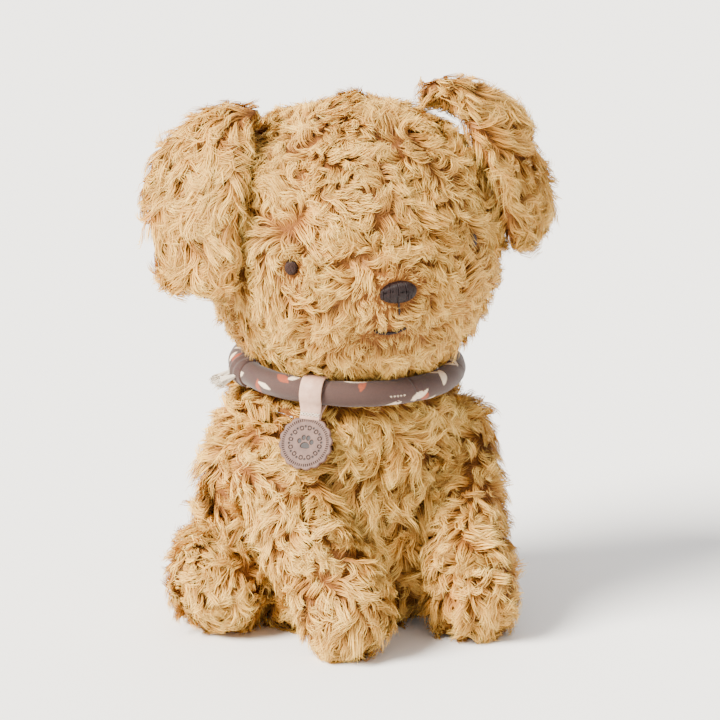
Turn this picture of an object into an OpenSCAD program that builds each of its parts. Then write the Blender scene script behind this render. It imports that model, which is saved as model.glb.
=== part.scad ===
// Plush dog, sitting on its seat with both front paws on the floor.
// Millimetres, +Z up. The dog faces -Y, so its right side is at -X.
// The origin is the middle of the flat seat, and the seat and paws rest on the plane z = 0.

/* [Head] */
// Height of the middle of the head above the seat
head_z = 152; // [150:0.5:156]
// How far the middle of the head sits in front of the middle of the seat
head_forward = 8; // [6:1:10]
// Radius of the head's round underside
head_r = 57; // [55:0.5:57]
// Half width of the head at the cheeks
cheek_r = 59; // [57:0.5:60]
// Height of the crown above the middle of the head
crown_h = 60; // [56:0.5:61]
// Squareness of the crown, where 2 is round
crown_power = 2.4; // [2:0.1:2.6]
// Turn of the head to the dog's right as it sits, in degrees
head_turn = 11; // [0:1:15]
// Sideways lean of the head as it sits, in degrees
head_lean = 5; // [0:1:6]

/* [Face] */
// Radius of the small raised muzzle
muzzle_r = 22; // [20:0.5:22]
// How far the muzzle's middle lies in front of the middle of the head
muzzle_forward = 41; // [38:0.5:42]
// Height of the muzzle's middle below the middle of the head
muzzle_drop = 6; // [4:0.5:7]
// Width of the embroidered nose
nose_w = 14; // [12:0.5:16]
// Height of the embroidered nose
nose_h = 8.5; // [7:0.5:10]
// Angle of each eye from the middle of the face, in degrees
eye_angle = 40; // [38:1:45]
// Height of the eyes above the middle of the head
eye_rise = 7; // [5:0.5:11]
// Width of the mouth stitch
mouth_w = 12; // [10:0.5:14]

/* [Limbs] */
// Radius of a front leg at the shoulder
shoulder_r = 18; // [16:0.5:18]
// Radius of a front leg at the paw
paw_r = 17; // [15:0.5:17]
// Radius of a hind leg
hind_r = 20; // [18:0.5:20]
// Length of a hind leg between the middles of its hip and its foot
hind_l = 37; // [34:1:37]
// Splay of the right hind leg from straight ahead as it sits, in degrees
right_splay = 32; // [28:1:34]
// Splay of the left hind leg from straight ahead as it sits, in degrees
left_splay = 16; // [15:1:20]
// Radius of the tail at its root
tail_r = 9; // [8:0.5:9]

/* [Collar and tag] */
// Radius of the collar's middle line
collar_r = 43.5; // [43:0.5:44]
// Thickness of the round collar
collar_d = 10; // [9:0.5:10]
// Forward dip of the collar, in degrees
collar_dip = 4; // [3:0.5:5]
// Place of the tag round the collar, from the front towards the dog's right, in degrees
tag_place = 45; // [40:1:50]
// Diameter of the medallion
medallion_d = 22; // [20:0.5:23]
// Number of scallops round the medallion
scallops = 16; // [12:1:20]
// Width of the tag's strap
strap_w = 9; // [8:0.5:9]

/* [Cloth] */
// Thickness that the pile fabric takes up, backing and roots of the pile
skin = 2.5; // [2:0.1:3]
// Gap between pieces that move past each other
gap = 0.6; // [0.5:0.05:0.8]

/* [Hidden] */

fur = "burlywood";
wadding = "ivory";
thread = "saddlebrown";

// The middle of the head, which is also the centre of its round underside
head_at = [0, -head_forward, head_z];
// The collar's ring lies this far below the middle of the head, along its own axis
collar_below = 47.2;
// Radius of the torso's neck inside the collar
neck_r = collar_r - collar_d / 2 - 2;

// The drawn-up thread of the neck seam: its height above the collar's ring, and its thickness
seam_rise = 2.9;
seam_t = 0.7;

// Middles of the shoulder and the paw, on the left side
shoulder_at = [40, -17, 70];
paw_at = [29, -58, paw_r - 0.5];
// How far a front leg swings out to the side, and how far a hind leg splays, in degrees
front_leg_swing = 45;
hind_leg_splay = 15;
// Extra room for a leg between the places that its clearance is cut at
sweep_gap = 1.2;
// Middle of the hip, on the left side, and the height of the foot's middle
hip_at = [37, 28, hind_r - 0.5];
// Root and tip of the tail
tail_root = [0, 49, 27];
tail_tip = [0, 70, 38];
tail_tip_r = 7;

// Thickness of each level slice that the torso is drawn through
slice_t = 0.5;
// Torso, as level ovals: height, half width, front and back
torso_ovals = [
    [-2, 40, -28, 30],
    [8, 49, -36, 39],
    [18, 54, -40, 44],
    [30, 57, -43, 46],
    [44, 58, -44, 46],
    [57, 58, -44.5, 46],
    [69, 55, -44.5, 44],
    [80, 52, -44, 41],
    [90, 47, -43, 36],
    [98, 41, -42, 31],
    [110, 35, -41, 27]
];

// Left ear in the head's own frame: points down its inner and its outer edge, root to tip
ear_inner = [[31, -4, 60], [37, -12, 63], [43, -20, 55], [50, -30, 37], [54, -34, 17], [57, -32, 2], [64, -25, -7]];
ear_outer = [[48, 16, 51], [61, 13, 57], [74, 8, 49], [81, 2, 34], [83, -2, 16], [80, -6, 2], [73, -16, -7]];
// Half thickness of the ear at each of those points
ear_half = [4, 4.4, 4.6, 5, 5, 4.4, 1.5];
ear_last = len(ear_inner) - 1;

// The seat's panel, and the bag of pellets that stands on it
seat_r = 19.5;
pouch_r = 18.5;
pouch_base_r = 12.5;
pouch_h = 24;
pouch_t = 1;

eye_w = 5;
// Heights of the nose's and the mouth's middles above the middle of the head
nose_rise = -5;
mouth_rise = -21.5;
// The mouth is sewn a little to the dog's right of the middle
mouth_shift = -2.5;

// Where the collar's tube is whole, opposite its knot, and the thickness of its cloth
knot_place = -82;
cover_t = 0.8;

// The strap below its loop: half its thickness, and how far it reaches below the tube's middle
strap_half = 1.4;
strap_end = 16;
medallion_t = 1.4;
medallion_drop = 21;

// Radius of the strap's loop round the collar
loop_in = collar_d / 2 + gap + 0.1;
strap_t = 0.8;
loop_out = loop_in + strap_t;
// Outward lean of the tag, which lies on the chest
tag_lean = 28;

function unit(v) = v / norm(v);

// Point on a smooth curve through the list p, where s runs from 0 to len(p) - 1
function spline(p, s) =
    let (n = len(p) - 1,
         i = min(n - 1, floor(s)),
         t = s - i,
         a = p[max(0, i - 1)],
         b = p[i],
         c = p[i + 1],
         d = p[min(n, i + 2)])
    0.5 * (2 * b + (c - a) * t + (2 * a - 5 * b + 4 * c - d) * t * t + (3 * b - a - 3 * c + d) * t * t * t);

function smooth(t) = let (x = min(1, max(0, t))) x * x * (3 - 2 * x);

// ---------- shared solids ----------

// A round bar with ball ends, from a (radius ra) to b (radius rb)
module limb(a, b, ra, rb, steps = 8, sides = 64) {
    v = b - a;
    l = norm(v);
    translate(a)
        rotate([0, acos(v.z / l), atan2(v.y, v.x)])
            rotate_extrude($fn = sides)
                polygon(limb_outline(l, ra, rb, steps));
}

// Half outline of that bar in the half plane x >= 0, lying along y
function limb_outline(l, ra, rb, steps) =
    concat(
        [for (i = [0:steps]) ra * [sin(90 * i / steps), -cos(90 * i / steps)]],
        [for (i = [0:steps]) rb * [cos(90 * i / steps), sin(90 * i / steps)] + [0, l]]
    );

module floor_cut() {
    translate([-150, -150, -40])
        cube([300, 300, 40]);
}

// The head without its turn and lean: round below, squarer above, grown by g all over
function head_outline(g) =
    concat(
        [for (a = [0:7.5:82.5])
            (head_r + g + (cheek_r - head_r) * smooth((a - 55) / 35)) * [sin(a), -cos(a)]],
        [for (a = [0:7.5:90])
            [(cheek_r + g) * pow(cos(a), 2 / crown_power), (crown_h + g) * pow(sin(a), 2 / crown_power)]]
    );

module head_solid(g, sides = 96) {
    rotate_extrude($fn = sides)
        polygon(head_outline(g));
    translate([0, -muzzle_forward, -muzzle_drop])
        sphere(r = muzzle_r + g, $fn = sides);
}

// Places the head's own frame on the dog
module on_head() {
    translate(head_at)
        rotate([0, -head_lean, -head_turn])
            children();
}

// Places the collar's frame, whose z is the collar's axis, on the dog
module on_collar() {
    translate(head_at)
        rotate([collar_dip, 0, 0])
            translate([0, 0, -collar_below])
                children();
}

// Places a frame on the collar at angle a from the front towards the dog's right:
// x runs along the tube, -y points outwards and z is the collar's axis
module round_collar(a) {
    on_collar()
        rotate([0, 0, -a])
            translate([0, -collar_r, 0])
                children();
}

// ---------- torso ----------

module torso_oval(o, g) {
    translate([0, (o[2] + o[3]) / 2, o[0]])
        scale([o[1] + g, (o[3] - o[2]) / 2 + g, 1])
            cylinder(r = 1, h = slice_t, $fn = 36);
}

module torso_bulk(g) {
    for (i = [0:len(torso_ovals) - 2])
        hull() {
            torso_oval(torso_ovals[i], g);
            torso_oval(torso_ovals[i + 1], g);
        }
}

// Space that the head, the collar, the limbs and the tail need, grown by g
module torso_clearances(g) {
    translate(head_at)
        sphere(r = head_r + g, $fn = 44);
    on_collar()
        rotate_extrude($fn = 44)
            translate([neck_r - g + gap, -collar_d / 2 - 1.5 - g])
                square([60, 40]);
    for (side = [0, 1])
        mirror([side, 0, 0])
            front_leg_sweep(g);
    for (more = [0, hind_leg_splay]) {
        hind_leg(-1, right_splay + more, g + sweep_gap, 3, 20);
        hind_leg(1, left_splay + more, g + sweep_gap, 3, 20);
    }
    limb(tail_root, tail_tip, tail_r + g, tail_tip_r + g, 3, 16);
}

// The space that the left front leg passes through as it swings out from rest
module front_leg_sweep(g) {
    for (swing = [0, front_leg_swing / 2, front_leg_swing])
        translate(shoulder_at)
            rotate([0, -swing, 0])
                translate(-shoulder_at)
                    limb(shoulder_at, paw_at, shoulder_r + g + sweep_gap, paw_r + g + sweep_gap, 3, 20);
}

module torso_solid(g) {
    difference() {
        torso_bulk(g);
        torso_clearances(gap - g);
        translate([0, 0, -g])
            floor_cut();
    }
}

module torso_skin() {
    color(fur)
        difference() {
            torso_solid(0);
            torso_solid(-skin);
            cylinder(r = seat_r + 0.1, h = 2 * skin, center = true, $fn = 96);
        }
}

module torso_stuffing() {
    color(wadding)
        difference() {
            torso_solid(-skin - 0.2);
            pouch(0.1);
            cylinder(r = pouch_base_r - 1, h = 4 * skin, center = true, $fn = 64);
        }
}

// Round panel let into the bottom of the torso
module seat_panel() {
    color(fur)
        cylinder(r = seat_r, h = skin, $fn = 96);
}

// Flat bag of pellets standing on the seat panel, grown by g
module pouch(g) {
    translate([0, 0, skin + 0.2 - g])
        rotate_extrude($fn = 64)
            polygon([
                [0, 0],
                [pouch_base_r + g, 0],
                [pouch_r - 1.5 + g, 3],
                [pouch_r + g, 8],
                [pouch_r - 2 + g, 15],
                [pouch_r - 9 + g, pouch_h + 2 * g],
                [0, pouch_h + 2 * g]
            ]);
}

module pellet_pouch() {
    color("gainsboro")
        difference() {
            pouch(0);
            pouch(-pouch_t);
        }
}

module pellets() {
    color("silver")
        pouch(-pouch_t - 0.1);
}

// ---------- limbs and tail ----------

module front_leg(side, g) {
    difference() {
        limb(mirrored(shoulder_at, side), mirrored(paw_at, side), shoulder_r + g, paw_r + g);
        translate([0, 0, -g])
            floor_cut();
    }
}

module hind_leg(side, splay, g, steps = 8, sides = 64) {
    hip = mirrored(hip_at, side);
    foot = hip + hind_l * [side * sin(splay), -cos(splay), 0];
    difference() {
        limb(hip, foot, hind_r + g, hind_r + g, steps, sides);
        translate([0, 0, min(0, -g)])
            floor_cut();
    }
}

function mirrored(p, side) = [side * p.x, p.y, p.z];

module tail(g) {
    limb(tail_root, tail_tip, tail_r + g, tail_tip_r + g);
}

module right_front_leg_skin() {
    color(fur)
        difference() {
            front_leg(-1, 0);
            front_leg(-1, -skin);
        }
}

module left_front_leg_skin() {
    color(fur)
        difference() {
            front_leg(1, 0);
            front_leg(1, -skin);
        }
}

module right_front_leg_stuffing() {
    color(wadding)
        front_leg(-1, -skin - 0.1);
}

module left_front_leg_stuffing() {
    color(wadding)
        front_leg(1, -skin - 0.1);
}

module right_hind_leg_skin() {
    color(fur)
        difference() {
            hind_leg(-1, right_splay, 0);
            hind_leg(-1, right_splay, -skin);
        }
}

module left_hind_leg_skin() {
    color(fur)
        difference() {
            hind_leg(1, left_splay, 0);
            hind_leg(1, left_splay, -skin);
        }
}

module right_hind_leg_stuffing() {
    color(wadding)
        hind_leg(-1, right_splay, -skin - 0.1);
}

module left_hind_leg_stuffing() {
    color(wadding)
        hind_leg(1, left_splay, -skin - 0.1);
}

module tail_skin() {
    color(fur)
        difference() {
            tail(0);
            tail(-skin);
        }
}

module tail_stuffing() {
    color(wadding)
        tail(-skin - 0.1);
}

// ---------- head and face ----------

module head_skin() {
    color(fur)
        on_head()
            difference() {
                head_solid(0);
                head_solid(-skin);
            }
}

module head_stuffing() {
    color(wadding)
        on_head()
            head_solid(-skin - 0.1);
}

// Thin layer of thread lying on the head's skin
module stitched(t) {
    intersection() {
        children();
        difference() {
            head_solid(t, 360);
            head_solid(0.02, 360);
        }
    }
}

// An oval bar of width w and height h, from the head's axis out through the face
module oval_bar(w, h) {
    rotate([90, 0, 0])
        linear_extrude(2 * cheek_r)
            polygon([for (a = [0:10:350]) [w / 2 * cos(a), h / 2 * sin(a)]]);
}

module eye(side) {
    color(thread)
        on_head()
            stitched(0.8)
                rotate([0, 0, side * eye_angle])
                    translate([0, 0, eye_rise])
                        oval_bar(eye_w, 1.2 * eye_w);
}

module right_eye() {
    eye(-1);
}

module left_eye() {
    eye(1);
}

module nose() {
    color("maroon")
        on_head()
            stitched(1.2)
                translate([0, 0, nose_rise])
                    oval_bar(nose_w, nose_h);
}

module nose_stitch() {
    color("maroon")
        on_head()
            stitched(0.6)
                translate([-0.5, -2 * cheek_r, mouth_rise + 3])
                    cube([1, 2 * cheek_r, nose_rise - mouth_rise - nose_h / 2 - 3.5]);
}

// The smile is the lower part of a ring
module mouth() {
    color("maroon")
        on_head()
            stitched(0.8)
                translate([mouth_shift, 0, mouth_rise + mouth_w])
                    rotate([90, 0, 0])
                        intersection() {
                            difference() {
                                cylinder(r = mouth_w + 0.6, h = 2 * cheek_r, $fn = 96);
                                cylinder(r = mouth_w - 0.6, h = 4 * cheek_r, center = true, $fn = 96);
                            }
                            translate([-mouth_w / 2, -2 * mouth_w, 0])
                                cube([mouth_w, 2 * mouth_w, 2 * cheek_r]);
                        }
}

// ---------- neck ----------

// Drawn-up thread where the head is sewn to the torso
module neck_seam() {
    color(thread)
        on_collar()
            rotate_extrude($fn = 72)
                translate([neck_r + 0.7, seam_rise])
                    circle(r = seam_t / 2, $fn = 24);
}

// ---------- ears ----------

ear_steps = 14;
ear_sides = 16;

function ear_middle(s) = (spline(ear_inner, s) + spline(ear_outer, s)) / 2;

// Cross-section k of the left ear, shrunk by g all round
function ear_ring(k, g) =
    let (s = k * ear_last / ear_steps,
         a = spline(ear_inner, s),
         b = spline(ear_outer, s),
         before = ear_middle(max(0, s - 0.1)),
         after = ear_middle(min(ear_last, s + 0.1)),
         across = unit(b - a),
         out = unit(cross(across, after - before)),
         half_w = norm(b - a) / 2 - g,
         half_t = spline(ear_half, s) - g)
    [for (i = [0:ear_sides - 1])
        let (t = 360 * i / ear_sides)
        (a + b) / 2
            + across * half_w * cos(t)
            + out * half_t * sign(sin(t)) * pow(abs(sin(t)), 0.8)];

module ear(g, first, last) {
    rings = [for (k = [first:last]) ear_ring(k, g)];
    n = ear_sides;
    m = len(rings);
    polyhedron(
        points = [for (r = rings) for (p = r) p],
        faces = concat(
            [for (k = [0:m - 2]) for (i = [0:n - 1])
                [k * n + i, k * n + (i + 1) % n, (k + 1) * n + (i + 1) % n]],
            [for (k = [0:m - 2]) for (i = [0:n - 1])
                [k * n + i, (k + 1) * n + (i + 1) % n, (k + 1) * n + i]],
            [[for (i = [n - 1:-1:0]) i]],
            [[for (i = [0:n - 1]) (m - 1) * n + i]]
        )
    );
}

module ear_skin(side) {
    color(fur)
        on_head()
            mirror([side < 0 ? 1 : 0, 0, 0])
                difference() {
                    ear(0, 0, ear_steps);
                    ear(skin, 1, ear_steps - 2);
                }
}

module ear_wadding(side) {
    color(wadding)
        on_head()
            mirror([side < 0 ? 1 : 0, 0, 0])
                ear(skin + 0.1, 1, ear_steps - 2);
}

module right_ear_skin() {
    ear_skin(-1);
}

module left_ear_skin() {
    ear_skin(1);
}

module right_ear_wadding() {
    ear_wadding(-1);
}

module left_ear_wadding() {
    ear_wadding(1);
}

// ---------- collar ----------

// Part of a ring round the neck, from angle a to b, with the tube's radius r
module ring(r, a, b) {
    on_collar()
        rotate([0, 0, -90 - b])
            rotate_extrude(angle = b - a, $fn = 96)
                translate([collar_r, 0])
                    circle(r = r, $fn = 48);
}

module collar_cover() {
    color("rosybrown")
        difference() {
            ring(collar_d / 2, knot_place - 177, knot_place + 177);
            ring(collar_d / 2 - cover_t, knot_place - 179, knot_place + 179);
        }
}

module collar_core() {
    color(wadding)
        ring(collar_d / 2 - cover_t - 0.1, knot_place - 176, knot_place + 176);
}

// Wrapped cloth that closes the ring
module collar_knot() {
    color("rosybrown")
        difference() {
            ring(collar_d / 2 + 1.2, knot_place + 173, knot_place + 187);
            ring(collar_d / 2 + 0.05, knot_place + 170, knot_place + 190);
        }
}

// Two short torn ends of cloth that stick out of the knot
module collar_frayed_ends() {
    color("linen")
        for (turn = [-1, 1])
            round_collar(knot_place + 180 + 4 * turn)
                translate([0, -collar_d / 2 - 1.8, -1])
                    rotate([90 + 25, 0, 20 * turn])
                        cylinder(d1 = 3, d2 = 7, h = 8, $fn = 24);
}

// ---------- tag ----------

// The tag's frame: x along the tube, z towards the tube, -y out of the medallion's face
module on_tag() {
    round_collar(tag_place)
        rotate([-tag_lean, 0, 0])
            children();
}

module tag_strap() {
    color("mistyrose")
        on_tag()
            difference() {
                union() {
                    rotate([0, 90, 0])
                        cylinder(r = loop_out, h = strap_w, center = true, $fn = 64);
                    translate([-strap_w / 2, -strap_half, -strap_end])
                        cube([strap_w, 2 * strap_half, strap_end - collar_d / 2]);
                }
                rotate([0, 90, 0])
                    cylinder(r = loop_in, h = 2 * strap_w, center = true, $fn = 64);
                medallion_blank(0.05);
            }
}

// The medallion's disc, grown by g
module medallion_blank(g) {
    translate([0, medallion_t / 2 + g, -medallion_drop])
        rotate([90, 0, 0])
            linear_extrude(medallion_t + 2 * g)
                polygon([for (i = [0:8 * scallops - 1])
                    let (a = 360 * i / (8 * scallops))
                    (medallion_d / 2 - 0.6 + g + 0.6 * abs(sin(a * scallops / 2))) * [cos(a), sin(a)]]);
}

module tag_medallion() {
    color("rosybrown")
        on_tag()
            medallion_blank(0);
}

// Crossed stitches through the strap's end
module tag_stitches() {
    color("white")
        on_tag()
            for (i = [-1:1])
                for (way = [-1, 1])
                    translate([2.4 * i, -strap_half - 0.2, -strap_end + 2.2])
                        rotate([0, 45 * way, 0])
                            cylinder(d = 0.3, h = 2.4, center = true, $fn = 16);
}

torso_skin();
torso_stuffing();
seat_panel();
pellet_pouch();
pellets();
head_skin();
head_stuffing();
right_eye();
left_eye();
nose();
nose_stitch();
mouth();
neck_seam();
right_ear_skin();
right_ear_wadding();
left_ear_skin();
left_ear_wadding();
right_front_leg_skin();
right_front_leg_stuffing();
left_front_leg_skin();
left_front_leg_stuffing();
right_hind_leg_skin();
right_hind_leg_stuffing();
left_hind_leg_skin();
left_hind_leg_stuffing();
tail_skin();
tail_stuffing();
collar_cover();
collar_core();
collar_knot();
collar_frayed_ends();
tag_strap();
tag_medallion();
tag_stitches();
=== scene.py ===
"""A plush dog that sits upright: long wavy fur on stuffed skins, a printed cloth collar and a leather tag.

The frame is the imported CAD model, in metres. Shapes here are worked out in millimetres and go into
their meshes in metres. The dog faces -Y and its right side is at -X.
"""
import math

import bmesh
import bpy
import numpy as np
from mathutils import Matrix, Vector
from mathutils.bvhtree import BVHTree
from mathutils.kdtree import KDTree


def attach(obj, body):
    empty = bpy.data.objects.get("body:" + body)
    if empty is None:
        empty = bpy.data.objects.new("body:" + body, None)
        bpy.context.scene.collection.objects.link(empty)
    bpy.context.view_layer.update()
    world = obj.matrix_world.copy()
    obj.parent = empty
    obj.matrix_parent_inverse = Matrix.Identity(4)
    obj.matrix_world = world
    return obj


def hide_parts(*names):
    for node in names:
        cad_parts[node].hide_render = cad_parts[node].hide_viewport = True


MM = 0.001

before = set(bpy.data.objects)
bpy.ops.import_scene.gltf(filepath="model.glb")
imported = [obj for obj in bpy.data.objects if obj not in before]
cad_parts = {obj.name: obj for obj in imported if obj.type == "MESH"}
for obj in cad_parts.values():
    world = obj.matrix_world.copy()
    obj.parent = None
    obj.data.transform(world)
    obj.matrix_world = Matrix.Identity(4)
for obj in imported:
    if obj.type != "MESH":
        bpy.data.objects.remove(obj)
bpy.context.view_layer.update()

# ---------- driving sizes, in millimetres and degrees ----------

HEAD_MIDDLE = np.array([0, -8, 152])  # centre of the head's round underside
HEAD_TURN = 11  # the head looks to the dog's right
HEAD_LEAN = 5
COLLAR_R = 43.5
COLLAR_TUBE_R = 5
COLLAR_BELOW = 47.2  # the ring lies this far below the head's middle, along its own axis
COLLAR_DIP = 4
KNOT_AT = 98  # angle round the collar from the front towards the dog's right
KNOT_HALF = 7.6
TAG_AT = 45
TAG_LEAN = 28
MEDALLION_R = 11
MEDALLION_T = 1.4
MEDALLION_DROP = 21
SCALLOPS = 16
STROKES = 66  # round the medallion's rim
DOTS = 24  # the dots and small rings inside the strokes, together

FUR_LENGTH = 10
FUR_PER_MM2 = 2.1
STRAND_W = 0.28
STRANDS_A_LOCK = 18
STRAND_STEPS = 5
MOST_STRANDS_A_PIECE = 22000
SHORTEST_SHARE = 0.08  # fur shorter than this share of its length is left out

CAMERA_AZIMUTH = -28
CAMERA_ELEVATION = 13
CAMERA_DISTANCE = 1300
VIEW_W = 295.2  # width of the view at the middle of the object
VIEW_AIM = np.array([0, 0, 105])
VIEW_SIDE = 7.4  # the view's middle lies this far to the right of the aim
SENSOR_W = 36
FLOOR_REACH = 40000
WORLD_LIGHT = 1.0  # strength of the world on things
WORLD_SEEN = 2.7  # strength of the world where the camera sees it


# ---------- materials ----------

def colour(red, green, blue):
    """A linear colour from 0 to 255 display values."""
    return [(c / 255 / 12.92 if c <= 10 else ((c / 255 + 0.055) / 1.055) ** 2.4)
            for c in (red, green, blue)] + [1]


def new_material(name):
    material = bpy.data.materials.new(name)
    material.use_nodes = True
    tree = material.node_tree
    return material, tree, tree.nodes["Principled BSDF"]


def add_node(tree, kind, settings=None, **inputs):
    node = tree.nodes.new("ShaderNode" + kind)
    for key, value in (settings or {}).items():
        setattr(node, key, value)
    for key, value in inputs.items():
        socket = node.inputs[key.replace("_", " ")]
        if isinstance(value, bpy.types.NodeSocket):
            tree.links.new(value, socket)
        else:
            socket.default_value = value
    return node


def ramp(tree, factor, stops):
    """A colour ramp through (position, colour) stops."""
    node = add_node(tree, "ValToRGB", Fac=factor)
    points = node.color_ramp.elements
    while len(points) < len(stops):
        points.new(0.5)
    for point, (position, shade) in zip(points, stops):
        point.position = position
        point.color = shade
    return node.outputs["Color"]


def noise(tree, scale, detail=2.0, roughness=0.5, distortion=0.0):
    """Noise over the object's own coordinates. The scale is in features a metre."""
    place = add_node(tree, "TexCoord")
    return add_node(tree, "TexNoise", Vector=place.outputs["Object"], Scale=scale, Detail=detail,
                    Roughness=roughness, Distortion=distortion).outputs["Fac"]


def mix(tree, factor, a, b, blend="MIX"):
    node = add_node(tree, "Mix", {"data_type": "RGBA", "blend_type": blend})
    for socket, value in ((node.inputs[0], factor), (node.inputs[6], a), (node.inputs[7], b)):
        if isinstance(value, bpy.types.NodeSocket):
            tree.links.new(value, socket)
        else:
            socket.default_value = value
    return node.outputs[2]


def add_bump(tree, shader, height, strength, depth):
    """Bump of the given depth, in metres, from a height socket."""
    node = add_node(tree, "Bump", Height=height, Strength=strength, Distance=depth)
    tree.links.new(node.outputs["Normal"], shader.inputs["Normal"])


def fur_material():
    material, tree, shader = new_material("plush_fur")
    along = add_node(tree, "Attribute", {"attribute_name": "along"}).outputs["Fac"]
    lock = add_node(tree, "Attribute", {"attribute_name": "lock"}).outputs["Fac"]
    shade = ramp(tree, along, [
        (0.0, colour(140, 90, 40)),
        (0.25, colour(194, 140, 66)),
        (0.6, colour(232, 186, 96)),
        (1.0, colour(252, 220, 128)),
    ])
    patch = ramp(tree, noise(tree, 42, 3.0), [(0.42, [0, 0, 0, 1]), (0.68, [1, 1, 1, 1])])
    warm = mix(tree, patch, shade, mix(tree, 0.35, shade, colour(206, 138, 48)))
    tint = ramp(tree, lock, [
        (0.0, colour(176, 154, 126)),
        (0.5, colour(230, 220, 204)),
        (1.0, colour(255, 252, 244)),
    ])
    tree.links.new(mix(tree, 0.85, warm, tint, "MULTIPLY"), shader.inputs["Base Color"])
    shader.inputs["Roughness"].default_value = 0.58
    shader.inputs["Specular IOR Level"].default_value = 0.22
    return material


def shade_dark_backing_material():
    """The knitted backing that the fur grows from, coloured darker than the fur so that the gaps between
    the locks show painted shade.
    """
    material, tree, shader = new_material("plush_backing_painted_shade")
    fibres = noise(tree, 900, 3.0)
    # painted shade: these dark browns stand in for the shadow down in the gaps between the locks
    shade = ramp(tree, fibres, [(0.3, colour(92, 52, 20)), (0.7, colour(132, 82, 34))])
    tree.links.new(shade, shader.inputs["Base Color"])
    shader.inputs["Roughness"].default_value = 0.9
    shader.inputs["Specular IOR Level"].default_value = 0.2
    add_bump(tree, shader, fibres, 0.6, 0.0004)
    return material


def fibre_material(name, dark, pale, scale=1500):
    """Loose fibres, such as wadding."""
    material, tree, shader = new_material(name)
    fibres = noise(tree, scale, 4.0, 0.7, 1.5)
    tree.links.new(ramp(tree, fibres, [(0.35, dark), (0.65, pale)]), shader.inputs["Base Color"])
    shader.inputs["Roughness"].default_value = 0.95
    add_bump(tree, shader, fibres, 0.8, 0.0006)
    return material


def thread_material(name, dark, pale):
    """Shiny embroidery thread, with its twist."""
    material, tree, shader = new_material(name)
    strands = noise(tree, 2600, 2.0, 0.6)
    tree.links.new(ramp(tree, strands, [(0.3, dark), (0.75, pale)]), shader.inputs["Base Color"])
    shader.inputs["Roughness"].default_value = 0.5
    shader.inputs["Specular IOR Level"].default_value = 0.3
    add_bump(tree, shader, strands, 0.5, 0.00015)
    return material


def leather_material(name, dark, pale, grain=1400):
    material, tree, shader = new_material(name)
    place = add_node(tree, "TexCoord").outputs["Object"]
    pores = add_node(tree, "TexVoronoi", Vector=place, Scale=grain).outputs["Distance"]
    clouds = noise(tree, 260, 4.0, 0.6)
    tree.links.new(ramp(tree, clouds, [(0.3, dark), (0.7, pale)]), shader.inputs["Base Color"])
    shader.inputs["Roughness"].default_value = 0.62
    shader.inputs["Coat Weight"].default_value = 0.05
    add_bump(tree, shader, pores, 0.35, 0.00012)
    return material


def stamped_material(name, dark, pale, burnt):
    """Leather that is darker where it is stamped, which the mesh marks."""
    material, tree, shader = new_material(name)
    clouds = noise(tree, 300, 4.0, 0.6)
    stamped = add_node(tree, "Attribute", {"attribute_name": "stamped"}).outputs["Fac"]
    plain_leather = ramp(tree, clouds, [(0.3, dark), (0.7, pale)])
    tree.links.new(mix(tree, stamped, plain_leather, burnt), shader.inputs["Base Color"])
    shader.inputs["Roughness"].default_value = 0.6
    add_bump(tree, shader, noise(tree, 3000, 3.0), 0.3, 0.0001)
    return material


def print_material():
    """Woven cotton with a printed pattern, whose colours lie on the mesh."""
    material, tree, shader = new_material("printed_cotton")
    ink = add_node(tree, "Attribute", {"attribute_name": "ink"}).outputs["Color"]
    threads = noise(tree, 2200, 2.0, 0.7)
    worn = ramp(tree, threads, [(0.3, colour(214, 208, 204)), (0.7, colour(255, 255, 255))])
    tree.links.new(mix(tree, 1.0, ink, worn, "MULTIPLY"), shader.inputs["Base Color"])
    shader.inputs["Roughness"].default_value = 0.82
    shader.inputs["Sheen Weight"].default_value = 0.2
    add_bump(tree, shader, threads, 0.5, 0.0002)
    return material


FUR = fur_material()
SHADE_DARK_BACKING = shade_dark_backing_material()
WADDING = fibre_material("wadding", colour(225, 220, 210), colour(250, 248, 242))
POUCH_CLOTH = fibre_material("pouch_cloth", colour(196, 192, 184), colour(228, 224, 216), 3000)
PELLETS = fibre_material("pellets", colour(170, 170, 172), colour(222, 222, 224), 400)
COTTON = print_material()
FRAYED = fibre_material("frayed_cotton", colour(206, 190, 168), colour(244, 234, 216), 2500)
EYE_THREAD = thread_material("eye_thread", colour(26, 12, 8), colour(60, 34, 24))
NOSE_THREAD = thread_material("nose_thread", colour(12, 4, 4), colour(38, 16, 14))
SEAM_THREAD = thread_material("seam_thread", colour(150, 104, 60), colour(200, 150, 96))
TAG_THREAD = thread_material("tag_thread", colour(176, 158, 140), colour(214, 198, 180))
STRAP = leather_material("strap_leather", colour(172, 132, 110), colour(198, 160, 138))
MEDALLION = stamped_material("medallion_leather", colour(80, 52, 42), colour(106, 76, 62),
                             colour(24, 12, 9))


# ---------- meshes ----------

def add_object(name, mesh, material, smooth=True):
    thing = bpy.data.objects.new(name, mesh)
    bpy.context.scene.collection.objects.link(thing)
    mesh.materials.append(material)
    if smooth:
        mesh.shade_smooth()
    return thing


def add_mesh(name, points, faces, material, smooth=True):
    """An object from points in millimetres and lists of corners."""
    mesh = bpy.data.meshes.new(name)
    mesh.from_pydata((np.asarray(points) * MM).tolist(), [], faces)
    return add_object(name, mesh, material, smooth)


def coordinates(mesh):
    """A mesh's points in millimetres."""
    flat = np.zeros(len(mesh.vertices) * 3)
    mesh.vertices.foreach_get("co", flat)
    return flat.reshape(-1, 3) / MM


def unit(v):
    return v / np.maximum(np.linalg.norm(v, axis=-1, keepdims=True), 1e-9)


def turn(axis, degrees):
    return np.array(Matrix.Rotation(math.radians(degrees), 3, axis))


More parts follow.
